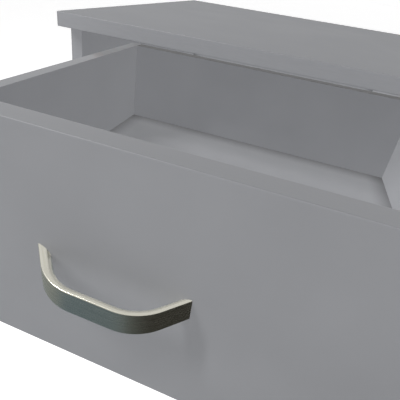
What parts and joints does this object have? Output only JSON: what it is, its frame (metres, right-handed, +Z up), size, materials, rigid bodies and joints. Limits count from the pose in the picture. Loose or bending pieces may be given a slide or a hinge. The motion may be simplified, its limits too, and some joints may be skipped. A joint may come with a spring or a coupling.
{
  "type": "single-pedestal writing desk",
  "caption": "Grey flat-pack writing desk with a drawer pedestal on the left, bowed nickel handles, roller runners and a panel behind the kneehole.",
  "frame": {"origin": "on the floor, at the middle of the bounding box of the desk with its upper drawer open", "axes": "+X to the right of a person sitting at the desk, +Y away from them towards the back, +Z up"},
  "size_m": [1.15, 0.7972, 0.74],
  "materials": {
    "grey_board": "matt grey foil on fibreboard",
    "grey_hardboard": "matt grey lacquer on hardboard",
    "brushed_nickel": "brushed satin nickel",
    "zinc_alloy": "tumbled die casting",
    "zinc_plated_steel": "bright zinc plate",
    "white_coated_steel": "powder coat",
    "white_nylon": "moulded nylon",
    "grey_nylon": "moulded nylon",
    "beech": "fluted dowel, unfinished"
  },
  "bodies": {
    "desk": {"desktop": "grey_board", "pedestal_left_side": "grey_board", "pedestal_right_side": "grey_board", "end_panel": "grey_board", "pedestal_base": "grey_board", "plinth": "grey_board", "modesty_panel": "grey_board", "pedestal_back": "grey_hardboard", "glides": "grey_nylon", "carcass_cam_fittings": "zinc_alloy", "carcass_dowels": "beech", "fixed_runner_screws": "zinc_plated_steel", "top_fixed_left_runner": "white_coated_steel", "top_fixed_right_runner": "white_coated_steel", "middle_fixed_left_runner": "white_coated_steel", "middle_fixed_right_runner": "white_coated_steel", "bottom_fixed_left_runner": "white_coated_steel", "bottom_fixed_right_runner": "white_coated_steel"},
    "top_drawer": {"top_drawer_front": "grey_board", "top_drawer_left_side": "grey_board", "top_drawer_right_side": "grey_board", "top_drawer_back": "grey_board", "top_drawer_floor": "grey_hardboard", "top_drawer_handle": "brushed_nickel", "top_drawer_handle_screws": "zinc_plated_steel", "top_drawer_cam_fittings": "zinc_alloy", "top_drawer_back_screws": "zinc_plated_steel", "top_drawer_runner_screws": "zinc_plated_steel", "top_drawer_left_runner": "white_coated_steel", "top_drawer_right_runner": "white_coated_steel"},
    "top_drawer_roller_pair": {"top_drawer_rollers": "white_nylon"},
    "top_fixed_roller_pair": {"top_fixed_rollers": "white_nylon"},
    "middle_drawer": {"middle_drawer_front": "grey_board", "middle_drawer_left_side": "grey_board", "middle_drawer_right_side": "grey_board", "middle_drawer_back": "grey_board", "middle_drawer_floor": "grey_hardboard", "middle_drawer_handle": "brushed_nickel", "middle_drawer_handle_screws": "zinc_plated_steel", "middle_drawer_cam_fittings": "zinc_alloy", "middle_drawer_back_screws": "zinc_plated_steel", "middle_drawer_runner_screws": "zinc_plated_steel", "middle_drawer_left_runner": "white_coated_steel", "middle_drawer_right_runner": "white_coated_steel"},
    "middle_drawer_roller_pair": {"middle_drawer_rollers": "white_nylon"},
    "middle_fixed_roller_pair": {"middle_fixed_rollers": "white_nylon"},
    "bottom_drawer": {"bottom_drawer_front": "grey_board", "bottom_drawer_left_side": "grey_board", "bottom_drawer_right_side": "grey_board", "bottom_drawer_back": "grey_board", "bottom_drawer_floor": "grey_hardboard", "bottom_drawer_handle": "brushed_nickel", "bottom_drawer_handle_screws": "zinc_plated_steel", "bottom_drawer_cam_fittings": "zinc_alloy", "bottom_drawer_back_screws": "zinc_plated_steel", "bottom_drawer_runner_screws": "zinc_plated_steel", "bottom_drawer_left_runner": "white_coated_steel", "bottom_drawer_right_runner": "white_coated_steel"},
    "bottom_drawer_roller_pair": {"bottom_drawer_rollers": "white_nylon"},
    "bottom_fixed_roller_pair": {"bottom_fixed_rollers": "white_nylon"}
  },
  "joints": [
    {"name": "top_drawer_slide", "type": "slide", "parent": "desk", "child": "top_drawer", "axis": [0, -1, 0], "range_m": [-0.235, 0.025]},
    {"name": "top_drawer_rollers_spin", "type": "hinge", "parent": "top_drawer", "child": "top_drawer_roller_pair", "pos_m": [-0.319, -0.01835, 0.558], "axis": [1, 0, 0], "range_deg": [-1595, 179]},
    {"name": "top_fixed_rollers_spin", "type": "hinge", "parent": "desk", "child": "top_fixed_roller_pair", "pos_m": [-0.319, -0.10735, 0.558], "axis": [1, 0, 0], "range_deg": [-1595, 179]},
    {"name": "middle_drawer_slide", "type": "slide", "parent": "desk", "child": "middle_drawer", "axis": [0, -1, 0], "range_m": [0, 0.26]},
    {"name": "middle_drawer_rollers_spin", "type": "hinge", "parent": "middle_drawer", "child": "middle_drawer_roller_pair", "pos_m": [-0.319, 0.21665, 0.352], "axis": [1, 0, 0], "range_deg": [-10, 1763]},
    {"name": "middle_fixed_rollers_spin", "type": "hinge", "parent": "desk", "child": "middle_fixed_roller_pair", "pos_m": [-0.319, -0.10735, 0.352], "axis": [1, 0, 0], "range_deg": [-10, 1763]},
    {"name": "bottom_drawer_slide", "type": "slide", "parent": "desk", "child": "bottom_drawer", "axis": [0, -1, 0], "range_m": [0, 0.26]},
    {"name": "bottom_drawer_rollers_spin", "type": "hinge", "parent": "bottom_drawer", "child": "bottom_drawer_roller_pair", "pos_m": [-0.319, 0.21665, 0.146], "axis": [1, 0, 0], "range_deg": [-10, 1763]},
    {"name": "bottom_fixed_rollers_spin", "type": "hinge", "parent": "desk", "child": "bottom_fixed_roller_pair", "pos_m": [-0.319, -0.10735, 0.146], "axis": [1, 0, 0], "range_deg": [-10, 1763]}
  ],
  "couplings": [
    {"joint": "top_drawer_rollers_spin", "follows": "top_drawer_slide", "rad_per_m": 117.65},
    {"joint": "top_fixed_rollers_spin", "follows": "top_drawer_slide", "rad_per_m": 117.65},
    {"joint": "middle_drawer_rollers_spin", "follows": "middle_drawer_slide", "rad_per_m": 117.65},
    {"joint": "middle_fixed_rollers_spin", "follows": "middle_drawer_slide", "rad_per_m": 117.65},
    {"joint": "bottom_drawer_rollers_spin", "follows": "bottom_drawer_slide", "rad_per_m": 117.65},
    {"joint": "bottom_fixed_rollers_spin", "follows": "bottom_drawer_slide", "rad_per_m": 117.65}
  ]
}
